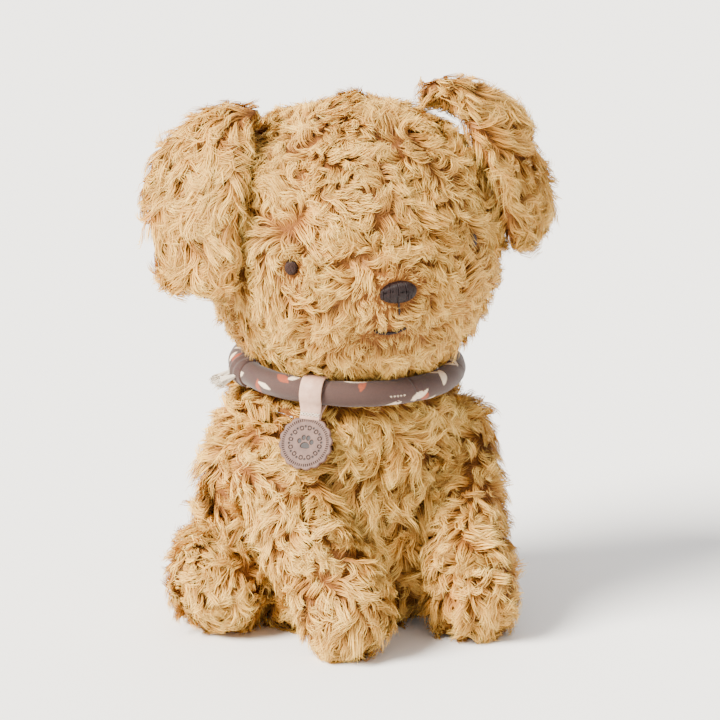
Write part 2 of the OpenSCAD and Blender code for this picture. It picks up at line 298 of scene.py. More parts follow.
def waves(seed, wavelength, count=9):
    """Smooth noise from -1 to 1 in three channels, as a function of points in millimetres."""
    rng = np.random.default_rng(seed)
    direction = unit(rng.normal(size=(count, 3)))
    pitch = 2 * np.pi / (wavelength * rng.uniform(0.7, 1.6, count))
    phase = rng.uniform(0, 2 * np.pi, (3, count))
    weight = rng.normal(size=(3, count)) / math.sqrt(count / 2)

    def field(points):
        angle = (points @ direction.T) * pitch
        return np.stack([np.sin(angle + phase[c]) @ weight[c] for c in range(3)], axis=1)

    return field


# ---------- stuffed skins ----------

SKIN_OVER_STUFFING = 1.2
VOXEL = 2.6
PUFF_FRAMES = 12
PUFF_PRESSURE = 2.0
LUMPS_APART = 26
SKIN_OFF_FLOOR = 1.0
FUR_OFF_FLOOR = 0.3


def outer_shell(name, node, hollow=None):
    """A closed copy of a stuffing node's outer surface.

    hollow(point) picks the faces of a pocket to leave out.
    """
    shape = bmesh.new()
    shape.from_mesh(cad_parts[node].data)
    bmesh.ops.remove_doubles(shape, verts=shape.verts, dist=0.02 * MM)
    if hollow:
        inside = [f for f in shape.faces if hollow(f.calc_center_median() / MM)]
        bmesh.ops.delete(shape, geom=inside, context="FACES")
        edges = [e for e in shape.edges if e.is_boundary]
        bmesh.ops.holes_fill(shape, edges=edges)
        bmesh.ops.triangulate(shape, faces=[f for f in shape.faces if len(f.verts) > 4])
    mesh = bpy.data.meshes.new(name)
    shape.to_mesh(mesh)
    shape.free()
    return add_object(name, mesh, SHADE_DARK_BACKING)


def apply_modifiers(thing):
    graph = bpy.context.evaluated_depsgraph_get()
    done = bpy.data.meshes.new_from_object(thing.evaluated_get(graph))
    thing.modifiers.clear()
    thing.data = done


def puff(thing, pressure, cap):
    """Blows the skin up as cloth for a moment, which wrinkles and rounds it.

    No point moves further than the cap, in millimetres.
    """
    before = coordinates(thing.data)
    cloth = thing.modifiers.new("Cloth", "CLOTH")
    cloth.settings.use_pressure = True
    cloth.settings.uniform_pressure_force = pressure
    cloth.settings.effector_weights.gravity = 0
    cloth.settings.quality = 4
    cloth.settings.tension_stiffness = 8
    cloth.settings.compression_stiffness = 8
    cloth.settings.bending_stiffness = 0.3
    cloth.point_cache.frame_start = 1
    cloth.point_cache.frame_end = PUFF_FRAMES
    scene = bpy.context.scene
    for step in range(1, PUFF_FRAMES + 1):
        scene.frame_set(step)
    graph = bpy.context.evaluated_depsgraph_get()
    moved = coordinates(thing.evaluated_get(graph).to_mesh()) - before
    thing.modifiers.clear()
    scene.frame_set(1)
    reach = np.linalg.norm(moved, axis=1, keepdims=True)
    moved *= np.minimum(1, cap / np.maximum(reach, 1e-9))
    thing.data.vertices.foreach_set("co", ((before + moved) * MM).ravel())


def over_stuffing(points, normals, node, least=0.8):
    """The skin's points, moved out where the stuffing would come through."""
    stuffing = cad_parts[node].data
    corners = [list(face.vertices) for face in stuffing.polygons]
    tree = BVHTree.FromPolygons(coordinates(stuffing).tolist(), corners)
    for i, point in enumerate(points):
        place, out, _, _ = tree.find_nearest(Vector(point))
        above = (Vector(point) - place).dot(out)
        if above < least:
            points[i] += normals[i] * (least - above)
    return points


def stuffed_skin(name, node, skin_node, body, hollow=None, cap=1.0, voxel=VOXEL, lumps=0.7,
                 rounds=4):
    """The furred skin over a stuffing node: remeshed evenly, puffed as cloth and slightly lumpy."""
    thing = outer_shell(name, node, hollow)
    remesh = thing.modifiers.new("Remesh", "REMESH")
    remesh.mode = "VOXEL"
    remesh.voxel_size = voxel * MM
    smooth = thing.modifiers.new("Smooth", "SMOOTH")
    smooth.factor = 0.5
    smooth.iterations = rounds
    apply_modifiers(thing)
    puff(thing, PUFF_PRESSURE, cap)
    mesh = thing.data
    points = coordinates(mesh)
    normals = np.array([v.normal for v in mesh.vertices])
    lumpy = waves(len(node), LUMPS_APART)(points)[:, :1]
    swell = SKIN_OVER_STUFFING + lumps * np.clip(lumpy, -0.5, 1.5)
    points = over_stuffing(points + normals * swell, normals, node)
    points[:, 2] = np.maximum(points[:, 2], SKIN_OFF_FLOOR)
    mesh.vertices.foreach_set("co", (points * MM).ravel())
    mesh.materials.clear()
    mesh.materials.append(SHADE_DARK_BACKING)
    mesh.shade_smooth()
    mesh.update()
    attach(thing, body)
    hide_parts(skin_node)
    return thing


# ---------- fur ----------

class Skin:
    """A skin's surface, ready for fur: even random roots, and the nearest place on it to any point."""

    def __init__(self, thing):
        mesh = thing.data
        mesh.calc_loop_triangles()
        self.points = coordinates(mesh)
        corners = np.zeros(len(mesh.loop_triangles) * 3, int)
        mesh.loop_triangles.foreach_get("vertices", corners)
        self.corners = corners.reshape(-1, 3)
        self.normals = np.array([v.normal for v in mesh.vertices])
        self.tree = BVHTree.FromPolygons(self.points.tolist(), self.corners.tolist())

    def roots(self, rng, per_mm2):
        """Random places and normals on the surface."""
        a, b, c = (self.points[self.corners[:, i]] for i in range(3))
        area = np.linalg.norm(np.cross(b - a, c - a), axis=1) / 2
        count = int(area.sum() * per_mm2)
        face = rng.choice(len(area), count, p=area / area.sum())
        u, v = rng.random((2, count, 1))
        flip = u + v > 1
        u, v = np.where(flip, 1 - u, u), np.where(flip, 1 - v, v)
        place = a[face] + u * (b - a)[face] + v * (c - a)[face]
        corner_normals = self.normals[self.corners[face]]
        first, second, third = (corner_normals[:, i] for i in range(3))
        return place, unit(first * (1 - u - v) + second * u + third * v)

    def nearest(self, points):
        """The nearest places on the surface, and the way out there."""
        places, outs = np.zeros_like(points), np.zeros_like(points)
        for i, point in enumerate(points):
            place, normal, _, _ = self.tree.find_nearest(Vector(point))
            places[i], outs[i] = place, normal
        return places, outs


def across(v, normal):
    """The part of v that lies along the surface, at length one."""
    return unit(v - np.sum(v * normal, axis=1, keepdims=True) * normal)


def comb_locks(skin, root, normal, comb, length, rise, rng):
    """The middles of the locks: paths that leave the skin, lie over in the combed direction and curl."""
    count = len(root)
    step = length[:, None] / STRAND_STEPS
    curl = (rng.normal(0, 12, count) + 26 * waves(5, 9)(root)[:, 0])[:, None]
    wave = np.where(rng.random((count, 1)) < 0.5, -0.9, 1)
    path = [root]
    place, out = root, normal
    turned = rng.normal(0, 12, (count, 1))
    for k in range(STRAND_STEPS):
        along = across(comb(place), out)
        angle = np.radians(turned)
        heading = along * np.cos(angle) + np.cross(out, along) * np.sin(angle)
        ground, out = skin.nearest(place + heading * step)
        share = (k + 1) / STRAND_STEPS
        height = rise[:, None] * (1 - (1 - share) ** 1.8)
        place = ground + out * height
        path.append(place)
        turned = turned + curl * (wave if 2 * k > STRAND_STEPS else 1)
    return np.stack(path, axis=1)


def grow(name, thing, body, comb, seed, length=FUR_LENGTH, rise=4.2, shorten=None, regions=None,
         lumpiness=0.28):
    """Fur on a skin, as flat tapering strands gathered in locks.

    comb(points) is the way the fur is brushed. shorten(points) is the share of the length left at each
    root, and 0 leaves it bare. regions are (name, test) pairs that split the fur into pieces.
    """
    rng = np.random.default_rng(seed)
    skin = Skin(thing)
    root, normal = skin.roots(rng, FUR_PER_MM2)
    share = np.ones(len(root)) if shorten is None else shorten(root)
    kept = share > SHORTEST_SHARE
    root, normal, share = root[kept], normal[kept], share[kept]

    lead_count = max(8, len(root) // STRANDS_A_LOCK)
    lead = rng.choice(len(root), lead_count, replace=False)
    swirl = waves(seed + 50, 14)(root[lead])
    lead_rise = rise * (1 + lumpiness * swirl[:, 1] + rng.normal(0, 0.12, lead_count))
    lead_rise = np.clip(lead_rise, 0.35 * rise, 1.8 * rise) * np.sqrt(share[lead])
    lead_length = length * share[lead] * rng.uniform(0.8, 1.2, lead_count)
    locks = comb_locks(skin, root[lead], normal[lead], comb, lead_length, lead_rise, rng)

    finder = KDTree(lead_count)
    for i, place in enumerate(root[lead]):
        finder.insert(place, i)
    finder.balance()
    mine = np.array([finder.find(place)[1] for place in root])

    t = np.linspace(0, 1, STRAND_STEPS + 1)[None, :, None]
    offset = (root - locks[mine, 0])[:, None, :]
    reach = rng.uniform(0.72, 1.12, (len(root), 1, 1))
    gather = rng.uniform(0.05, 0.5, (len(root), 1, 1))
    follow = (locks[mine] - locks[mine, :1]) * (1 + (reach - 1) * t)
    stray = rng.normal(0, 0.55, (len(root), 1, 3)) * t ** 1.5
    lift = normal[:, None, :] * rng.normal(0, 0.5, (len(root), 1, 1)) * t
    path = locks[mine, :1] + offset * (1 - gather * t ** 1.3) + follow + stray + lift
    path[:, :, 2] = np.maximum(path[:, :, 2], FUR_OFF_FLOOR)

    lock_tone = 0.24 * rng.normal(size=lead_count)[mine]
    tone = np.clip(0.5 + lock_tone + 0.12 * rng.normal(size=len(root)), 0, 1)
    width = STRAND_W * rng.uniform(0.75, 1.25, len(root)) * np.clip(share + 0.3, 0.5, 1)
    for part, test in regions or [(name, None)]:
        chosen = np.ones(len(root), bool) if test is None else test(root)
        for piece, picked in enumerate(pieces_of(chosen)):
            label = part if piece == 0 else f"{part}_{piece + 1}"
            fur = strands(label, path[picked], normal[picked], width[picked], tone[picked], rng)
            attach(fur, body)


def pieces_of(chosen):
    """The chosen strands' numbers, in as few equal shares as the most strands in a piece allow."""
    numbers = np.flatnonzero(chosen)
    return np.array_split(numbers, max(1, math.ceil(len(numbers) / MOST_STRANDS_A_PIECE)))


def strands(name, path, normal, width, tone, rng):
    """One mesh of flat strands, each a strip that narrows to a point."""
    count, rings = path.shape[:2]
    heading = unit(np.gradient(path, axis=1))
    roll = np.radians(rng.normal(0, 28, (count, 1, 1)))
    side = np.cross(heading, normal[:, None, :])
    side = unit(side) * np.cos(roll) + normal[:, None, :] * np.sin(roll)
    profile = np.array([0.8, 1.0, 1.0, 0.9, 0.65, 0.0])[None, :, None]
    half = side * profile * width[:, None, None] / 2

    per = 2 * rings - 1
    points = np.empty((count, per, 3))
    points[:, 0:-1:2] = (path - half)[:, :-1]
    points[:, 1:-1:2] = (path + half)[:, :-1]
    points[:, -1] = path[:, -1]

    quads = rings - 2
    corner = [[2 * k, 2 * k + 1, 2 * k + 3, 2 * k + 2] for k in range(quads)]
    corner.append([per - 3, per - 2, per - 1])
    pattern = np.array([c for face in corner for c in face])
    start = np.arange(count)[:, None] * per
    loops = (start + pattern[None, :]).ravel()
    sizes = np.array([len(face) for face in corner])
    begins = np.concatenate([[0], np.cumsum(sizes)[:-1]])
    loop_start = (np.arange(count)[:, None] * len(pattern) + begins[None, :]).ravel()

    mesh = bpy.data.meshes.new(name)
    mesh.vertices.add(count * per)
    mesh.vertices.foreach_set("co", (points * MM).astype(np.float32).ravel())
    mesh.loops.add(len(loops))
    mesh.loops.foreach_set("vertex_index", loops.astype(np.int32))
    mesh.polygons.add(len(loop_start))
    mesh.polygons.foreach_set("loop_start", loop_start.astype(np.int32))
    mesh.update(calc_edges=True)

    along = np.append(np.repeat(np.linspace(0, 1, rings)[:-1], 2), 1.0)
    for label, values in (("along", np.tile(along, count)), ("lock", np.repeat(tone, per))):
        attribute = mesh.attributes.new(label, "FLOAT", "POINT")
        attribute.data.foreach_set("value", values.astype(np.float32))

    cells = math.ceil(math.sqrt(count))
    cell = np.stack([np.arange(count) % cells, np.arange(count) // cells], axis=1)[:, None, :]
    corner_uv = np.stack([0.2 + 0.6 * (np.arange(per) % 2), 0.1 + 0.8 * along], axis=1)
    corner_uv[-1, 0] = 0.5
    uv = (cell + corner_uv[None, pattern]) / cells
    layer = mesh.uv_layers.new(name="OFBake")
    layer.uv.foreach_set("vector", uv.astype(np.float32).ravel())
    return add_object(name, mesh, FUR, smooth=True)


# ---------- the dog's own frames ----------

HEAD_TO_DOG = turn("Z", -HEAD_TURN) @ turn("Y", -HEAD_LEAN)


def in_head(points):
    """Points of the dog in the head's own frame, whose face looks along -y."""
    return (points - HEAD_MIDDLE) @ HEAD_TO_DOG


def brushed(way, swirl, fine=0.35, seed=1):
    """A brushing direction: a steady way, plus swirls some 30 mm across and smaller ones."""
    wide, small = waves(seed, 30), waves(seed + 1, 11)

    def comb(points):
        steady = way(points) if callable(way) else np.array(way, float)
        return steady + swirl * wide(points) + fine * small(points)

    return comb


# Embroidery on the face: (angle from the face's middle, sideways place, height, width, height of the oval)
EYES = {"right_eye": (-40, 0, 7, 5, 6), "left_eye": (40, 0, 7, 5, 6)}
NOSE = (0, 0, -5, 14, 8.5)
MOUTH = (0, -2.5, -21.5, 12, 3)
UNDER_EAR = np.array([41, -14, 57])  # where the fur beside the left ear's root is longest
SPOTS = [(EYES["right_eye"], 9.0), (EYES["left_eye"], 4.0), (NOSE, 11.0), (MOUTH, 10.0)]


def spot_frame(spot):
    """The turn from a spot's own frame, which faces along -y, to the head's."""
    return turn("Z", spot[0])


def beyond(points, spot):
    """How far points of the dog lie beyond a face spot's edge, and the way out from it."""
    angle, x, z, w, h = spot
    local = in_head(points) @ spot_frame(spot) - np.array([x, 0, z])
    stretch = np.array([2 / w, 0, 2 / h])
    reach = np.linalg.norm(local * stretch, axis=1)
    distance = np.where(local[:, 1] < 0, (reach - 1) * min(w, h) / 2, 99)
    out = unit(local * np.array([1, 0, 1])) @ spot_frame(spot).T @ HEAD_TO_DOG.T
    return distance, out


def collar_frame():
    """The middle of the collar's ring, and the turn from its own frame to the dog's."""
    tilt = turn("X", COLLAR_DIP)
    return HEAD_MIDDLE - COLLAR_BELOW * tilt[:, 2], tilt


COLLAR_MIDDLE, COLLAR_TILT = collar_frame()


def round_collar(angle):
    """A frame on the collar: x runs along the tube, -y points outwards and z is the collar's axis."""
    spin = COLLAR_TILT @ turn("Z", -angle)
    return COLLAR_MIDDLE + spin @ np.array([0, -COLLAR_R, 0]), spin


def height_over_collar(points):
    return (points - COLLAR_MIDDLE) @ COLLAR_TILT[:, 2]


# ---------- head ----------

def make_head():
    head = stuffed_skin("furred_head", "head_stuffing", "head_skin", "head")

    def shorten(points):
        over = height_over_collar(points)
        share = np.clip(0.55 + over / 20, 0.5, 1.15)
        local = in_head(points)
        local[:, 0] = np.abs(local[:, 0])
        under_ear = np.linalg.norm(local - UNDER_EAR, axis=1)
        share = share * (1 + 1.3 * np.exp(-(under_ear / 15) ** 2))
        for spot, fade in SPOTS:
            distance, _ = beyond(points, spot)
            share = np.minimum(share, np.clip(0.12 + distance / fade, 0, 1) * (distance > 0.1))
        return share

    def way(points):
        heading = np.tile(np.array([0.05, 0.2, -1.0]) @ HEAD_TO_DOG.T, (len(points), 1))
        for spot, fade in SPOTS:
            distance, out = beyond(points, spot)
            heading = heading + 2.5 * np.exp(-np.maximum(distance, 0) / (0.5 * fade))[:, None] * out
        return heading

    halves = [("face_fur", lambda points: in_head(points)[:, 1] < -8),
              ("head_back_fur", lambda points: in_head(points)[:, 1] >= -8)]
    grow("head_fur", head, "head", brushed(way, 0.9, 0.6, 11), 21, length=8.5, rise=3.6, shorten=shorten,
         regions=halves)
    return Skin(head)


def on_face(skin, spot, x, z, proud):
    """A point of the dog at x and z from a face spot's middle, proud of the head's skin by so much."""
    frame_turn = HEAD_TO_DOG @ spot_frame(spot)
    start = HEAD_MIDDLE + frame_turn @ np.array([spot[1] + x, -120, spot[2] + z])
    place, normal, _, _ = skin.tree.ray_cast(Vector(start), Vector(frame_turn @ np.array([0, 1, 0])))
    return np.array(place) + np.array(normal) * proud


def bands(rows, sides):
    """Faces between rows of points that are each a closed ring."""
    return [[i * sides + j, i * sides + (j + 1) % sides, (i + 1) * sides + (j + 1) % sides,
             (i + 1) * sides + j] for i in range(rows - 1) for j in range(sides)]


def bar_faces(rows, sides):
    """Faces of a closed bar: the bands between its rings, and a cap at each end."""
    last = (rows - 1) * sides
    return bands(rows, sides) + [list(range(sides))[::-1], [last + j for j in range(sides)]]


def tube(path, radius, sides=6):
    """Points and faces of a round closed bar along a path."""
    path = np.asarray(path, float)
    heading = unit(np.gradient(path, axis=0))
    first = np.array([0, 0, 1.0]) if abs(heading[0, 2]) < 0.8 else np.array([0, 1.0, 0])
    side = unit(np.cross(heading, first))
    other = np.cross(heading, side)
    angle = np.arange(sides) * 2 * np.pi / sides
    c, s = np.cos(angle)[None, :, None], np.sin(angle)[None, :, None]
    ring = side[:, None, :] * c + other[:, None, :] * s
    points = (path[:, None, :] + ring * radius).reshape(-1, 3)
    return points, bar_faces(len(path), sides)


def join(shapes):
    """Several (points, faces) as one."""
    points, faces, base = [], [], 0
    for some, corners in shapes:
        points.append(some)
        faces += [[base + c for c in face] for face in corners]
        base += len(some)
    return np.concatenate(points), faces


def satin(skin, spot, thread_r, slant, seed, proud=1.2, dome=0.9):
    """An oval filled with slanting satin stitches over a small pad."""
    rng = np.random.default_rng(seed)
    _, _, _, w, h = spot
    spin = math.radians(slant)
    shapes = []
    count = int(w / (1.5 * thread_r))
    for i in range(count):
        across_oval = (2 * (i + 0.5) / count - 1) * 0.985
        half = math.sqrt(1 - across_oval ** 2)
        path = []
        for step in np.linspace(-1, 1, 11):
            x = across_oval * w / 2 + rng.normal(0, 0.03)
            z = step * half * h / 2 * (1 + rng.normal(0, 0.015))
            level = proud + dome * math.sqrt(max(0, 1 - across_oval ** 2 - (step * half) ** 2))
            sink = 1.3 if abs(step) > 0.99 else 0
            slanted_x = x * math.cos(spin) - z * math.sin(spin) * w / h
            slanted_z = z * math.cos(spin) + x * math.sin(spin) * h / w
            path.append(on_face(skin, spot, slanted_x, slanted_z, level - sink))
        shapes.append(tube(path, thread_r * rng.uniform(0.85, 1.1), 6))
    return shapes


def pad_under(skin, spot, proud=1.0, dome=0.8):
    """The closed pad under an oval of stitches."""
    _, _, _, w, h = spot
    rings, sides = 5, 28
    points, faces = [], []
    for i in range(rings + 1):
        share = i / rings
        level = proud + dome * math.sqrt(1 - share ** 2) if i < rings else -0.6
        for j in range(sides):
            a = 2 * math.pi * j / sides
            x, z = share * 0.97 * w / 2 * math.cos(a), share * 0.97 * h / 2 * math.sin(a)
            points.append(on_face(skin, spot, x, z, level))
    for i in range(rings):
        for j in range(sides):
            k = (j + 1) % sides
            faces.append([i * sides + j, (i + 1) * sides + j, (i + 1) * sides + k, i * sides + k])
    faces.append([rings * sides + j for j in range(sides)])
    return np.array(points), faces


def stitched_piece(name, shapes, material, slot, *nodes):
    points, faces = join(shapes)
    thing = add_mesh(name, points, faces, material)
    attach(thing, "head")
    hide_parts(*nodes)


def make_face(skin):
    for number, (eye, spot) in enumerate(EYES.items()):
        shapes = satin(skin, spot, 0.24, 25, 300 + number) + [pad_under(skin, spot)]
        stitched_piece(f"{eye}_embroidery", shapes, EYE_THREAD, "eye_thread", eye)
    shapes = satin(skin, NOSE, 0.26, 0, 310, dome=1.6) + [pad_under(skin, NOSE, dome=1.4)]
    stitched_piece("nose_embroidery", shapes, NOSE_THREAD, "nose_thread", "nose")

    below = [on_face(skin, NOSE, 0.15 * math.sin(z), -z, 0.9) for z in np.linspace(3.6, 12.5, 12)]
    stitched_piece("nose_stitch_thread", [tube(below, 0.42)], NOSE_THREAD, "nose_thread", "nose_stitch")

    smile = []
    for twist in (0, 180):
        path = []
        for share in np.linspace(-1, 1, 33):
            x = share * MOUTH[3] / 2
            rise = 12 - math.sqrt(144 - x * x)
            a = math.radians(twist + 900 * share)
            path.append(on_face(skin, MOUTH, x, rise - 0.2 + 0.3 * math.sin(a), 1.1 + 0.3 * math.cos(a)))
        smile.append(tube(path, 0.42))
    stitched_piece("mouth_thread", smile, NOSE_THREAD, "nose_thread", "mouth")


make_face(make_head())


# ---------- torso, limbs and tail ----------

def make_torso():
    pocket_r, pocket_bottom, pocket_top = 19, 2.71, 28
    seat_r, seat_rise = 21, 6

    def pocket(point):
        return math.hypot(point.x, point.y) < pocket_r and pocket_bottom < point.z < pocket_top

    torso = stuffed_skin("furred_torso", "torso_stuffing", "torso_skin", "torso", hollow=pocket)

    def shorten(points):
        below = -height_over_collar(points) - COLLAR_TUBE_R
        under = np.linalg.norm(points[:, :2], axis=1) < seat_r
        share = np.clip(0.25 + below / 14, 0.0, 1)
        share = np.where(below < -2, 0, share)
        return np.where(under & (points[:, 2] < seat_rise), 0, share)

    halves = [("belly_fur", lambda points: points[:, 1] < -5),
              ("back_fur", lambda points: points[:, 1] >= -5)]
    grow("torso_fur", torso, "torso", brushed([0, 0, -1.0], 0.8, 0.5, 31), 41, shorten=shorten, length=12,
         rise=6.0, regions=halves)


def make_seat_panel():
    """The round of plush let into the bottom: slightly crowned, with a turned-in rim."""
    radii = [0, 6, 12, 16, 18.2, 19.1, 19.3, 19.0, 17.5]
    heights = [0.25, 0.2, 0.1, 0.05, 0.15, 0.6, 1.3, 1.9, 2.3]
    sides = 96
    a = np.arange(sides) * 2 * np.pi / sides
    pucker = 1 + 0.008 * np.sin(24 * a)
    points = [[r * w * math.cos(t), r * w * math.sin(t), h]
              for r, h in zip(radii[1:], heights[1:]) for t, w in zip(a, pucker)]
    faces = []
    for i in range(len(radii) - 2):
        for j in range(sides):
            k = (j + 1) % sides
            faces.append([i * sides + k, i * sides + j, (i + 1) * sides + j, (i + 1) * sides + k])
    last = len(points)
    points += [[0, 0, heights[0]], [0, 0, heights[-1]]]
    rim = (len(radii) - 2) * sides
    for j in range(sides):
        k = (j + 1) % sides
        faces += [[last, k, j], [last + 1, rim + j, rim + k]]
    panel = add_mesh("crowned_seat_panel", points, faces, SHADE_DARK_BACKING)
    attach(panel, "torso")
    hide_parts("seat_panel")


def make_limb(part, way, seed):
    skin = stuffed_skin(f"furred_{part}", f"{part}_stuffing", f"{part}_skin", part)
    grow(f"{part}_fur", skin, part, brushed(way, 0.6, 0.4, seed), seed, rise=4.6)


make_torso()
make_seat_panel()
for side, sign in (("right", -1), ("left", 1)):
    make_limb(f"{side}_front_leg", [-0.1 * sign, -0.45, -1.0], 60 + sign)
    make_limb(f"{side}_hind_leg", [0.3 * sign, -0.7, -0.7], 70 + sign)
make_limb("tail", [0, 1.0, -0.1], 80)


# ---------- ears ----------

def make_ear(side, sign):
    part = f"{side}_ear"
    ear = stuffed_skin(f"furred_{part}", f"{part}_wadding", f"{part}_skin", part, cap=0.5, voxel=1.6,
                       lumps=0.3, rounds=1)
    comb = brushed([0.15 * sign, -0.25, -1.0], 0.45, 0.3, 90 + sign)
    grow(f"{part}_fur", ear, part, comb, 100 + sign, length=13.5, rise=3.6)


for side, sign in (("right", -1), ("left", 1)):
    make_ear(side, sign)


# ---------- collar ----------

CLOTH = colour(66, 40, 32)
CREAM, NAVY, RUST, WINE = colour(236, 214, 184), colour(24, 38, 74), colour(146, 62, 22), colour(64, 20, 26)
INKS = [CREAM, CREAM, NAVY, RUST, WINE]
COLLAR_ROUND = 2 * math.pi * COLLAR_R
TUBE_ROUND = 2 * math.pi * COLLAR_TUBE_R


def printed(along, around, leaves=56, seed=7):
    """The cloth's printed colours: leaves and petals in pairs, thin stems and rows of dots.

    along and around are places on the cloth, in millimetres, and both repeat.
    """
    rng = np.random.default_rng(seed)
    inks = np.tile(np.array(CLOTH[:3]), along.shape + (1,))

    def local(middle, angle):
        x = (along - middle[0] + COLLAR_ROUND / 2) % COLLAR_ROUND - COLLAR_ROUND / 2
        y = (around - middle[1] + TUBE_ROUND / 2) % TUBE_ROUND - TUBE_ROUND / 2
        return x * math.cos(angle) + y * math.sin(angle), y * math.cos(angle) - x * math.sin(angle)

    def stamp(inside, ink):
        share = np.clip(inside / 0.15, 0, 1)[..., None]
        inks[:] = inks * (1 - share) + np.array(ink[:3]) * share

    for number in range(leaves):
        middle = ((number + rng.uniform(0.1, 0.9)) * COLLAR_ROUND / leaves, rng.uniform(0, TUBE_ROUND))
        angle = rng.uniform(0, 2 * math.pi)
        x, y = local(middle, angle)
        bend = y - 0.05 * x * x
        stamp(0.18 - np.maximum(np.abs(bend), np.abs(x + 2.5) - 4.5), WINE)
        for leaf in range(rng.integers(1, 4)):
            turned = angle + rng.uniform(0.5, 0.9) * (-1) ** leaf
            tip = (middle[0] + 2.6 * math.cos(turned) - leaf, middle[1] + 2.6 * math.sin(turned))
            x, y = local(tip, turned)
            long, wide = rng.uniform(2.8, 4.8), rng.uniform(1.0, 1.9)
            stamp(wide * (1 - (x / long) ** 2) - np.abs(y), INKS[rng.integers(len(INKS))])
        if number % 4 == 0:
            for dot in range(5):
                x, y = local((middle[0] - 3 + 1.3 * dot, middle[1] + 3.2), 0)
                stamp(0.42 - np.hypot(x, y), CREAM)
    return np.append(inks, np.ones(along.shape + (1,)), axis=-1)


def cloth_ring(name, first, last, radius, along_steps, closed, seed=7):
    """A printed tube round the collar's ring, from one angle to another.

    radius(angle, turn) is in millimetres, at an angle in degrees round the collar and a turn in radians
    round the tube.
    """
    around_steps = 84
    angle = np.linspace(first, last, along_steps, endpoint=not closed)
    roll = np.arange(around_steps) * 2 * np.pi / around_steps
    spin, roll = np.meshgrid(np.radians(angle), roll, indexing="ij")
    r = radius(np.degrees(spin), roll)
    ring = COLLAR_R + r * np.cos(roll)
    local = np.stack([-np.sin(spin) * ring, -np.cos(spin) * ring, r * np.sin(roll)], axis=-1)
    points = (COLLAR_MIDDLE + local @ COLLAR_TILT.T).reshape(-1, 3)
    rows = along_steps if closed else along_steps - 1
    faces = []
    for i in range(rows):
        for j in range(around_steps):
            k, up = (i + 1) % along_steps, (j + 1) % around_steps
            faces.append([i * around_steps + j, i * around_steps + up,
                          k * around_steps + up, k * around_steps + j])
    thing = add_mesh(name, points, faces, COTTON)
    ink = thing.data.attributes.new("ink", "FLOAT_COLOR", "POINT")
    inks = printed(spin * COLLAR_R, roll * COLLAR_TUBE_R, seed=seed)
    ink.data.foreach_set("color", inks.astype(np.float32).ravel())
    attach(thing, "collar")
    return thing


def make_collar():
    """The creased cloth tube, its knot, and two torn ends with a fringe of threads."""
    rng = np.random.default_rng(3)
    creases = np.arange(0, 360, 45) + rng.uniform(-9, 9, 8)
    slants = rng.uniform(-4, 4, 8)

    def tube_radius(angle, roll):
        r = COLLAR_TUBE_R + 0.1 * np.sin(np.radians(7 * angle) + roll)
        r = r + 0.07 * np.sin(np.radians(23 * angle) - 2 * roll)
        for crease, slant in zip(creases, slants):
            off = (angle - crease - slant * np.sin(roll) + 180) % 360 - 180
            r = r - 0.4 * np.exp(-(off / 0.45) ** 2) + 0.16 * np.exp(-((off - 1.4) / 1.0) ** 2)
        return r

    cover = cloth_ring("collar_cloth", 0, 360, tube_radius, 760, True)
    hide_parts("collar_cover")

    def knot_radius(angle, roll):
        share = (angle - KNOT_AT) / KNOT_HALF
        bulge = np.sqrt(np.clip(1 - share ** 2, 0, 1))
        folds = 0.22 * np.sin(9 * share + 2 * roll)
        return COLLAR_TUBE_R - 0.3 + (1.7 + folds) * bulge ** 0.6

    knot = cloth_ring("collar_knot_cloth", KNOT_AT - KNOT_HALF, KNOT_AT + KNOT_HALF, knot_radius, 60, False,
                      seed=8)
    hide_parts("collar_knot")

    shapes, path, normal = [], [], []
    for sign in (-1, 1):
        middle, spin = round_collar(KNOT_AT + 4 * sign)
        end = spin @ turn("Z", 20 * sign) @ turn("X", 115)
        root = middle + spin @ np.array([0, -COLLAR_TUBE_R - 0.6, -1])
        rolls = np.linspace(0, 2 * np.pi, 49)[:-1]
        rings = []
        for share in np.linspace(0, 1, 10):
            r = (1.1 + 1.7 * share) * (1 + 0.3 * share * np.sin(5 * rolls + sign))
            level = np.full(len(rolls), 6.0 * share)
            ring = np.stack([r * np.cos(rolls), 0.6 * r * np.sin(rolls), level], axis=1)
            rings.append(root + ring @ end.T)
        shapes.append((np.concatenate(rings), bar_faces(len(rings), len(rolls))))
        for _ in range(170):
            a, out = rng.uniform(0, 2 * math.pi), rng.uniform(0.3, 1) ** 0.5
            way = np.array([math.cos(a), 0.6 * math.sin(a), 0]) * out
            t = np.linspace(0, 1, STRAND_STEPS + 1)[:, None]
            reach = rng.uniform(2.5, 5)
            line = way * (2.3 + 1.4 * t) + np.array([0, 0, 1]) * (4.5 + reach * t)
            line = line + rng.normal(0, 0.35, (len(t), 3)) * t
            path.append(root + line @ end.T)
            normal.append(end @ unit(way))
    points, faces = join(shapes)
    ends = add_mesh("collar_torn_ends", points, faces, FRAYED)
    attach(ends, "collar")
    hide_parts("collar_frayed_ends")
    count = len(path)
    width, tone = np.full(count, 0.34), np.full(count, 0.9)
    fringe = strands("collar_fringe", np.array(path), np.array(normal), width, tone, rng)
    fringe.data.materials.clear()
    fringe.data.materials.append(FRAYED)
    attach(fringe, "collar")


make_collar()


# ---------- tag ----------

TAG_MIDDLE, TAG_SPIN = round_collar(TAG_AT)
TAG_SPIN = TAG_SPIN @ turn("X", -TAG_LEAN)


def on_tag(local):
    """Points of the dog from the tag's frame: x along the collar, z towards it, -y out of the face."""
    return TAG_MIDDLE + np.asarray(local, float) @ TAG_SPIN.T


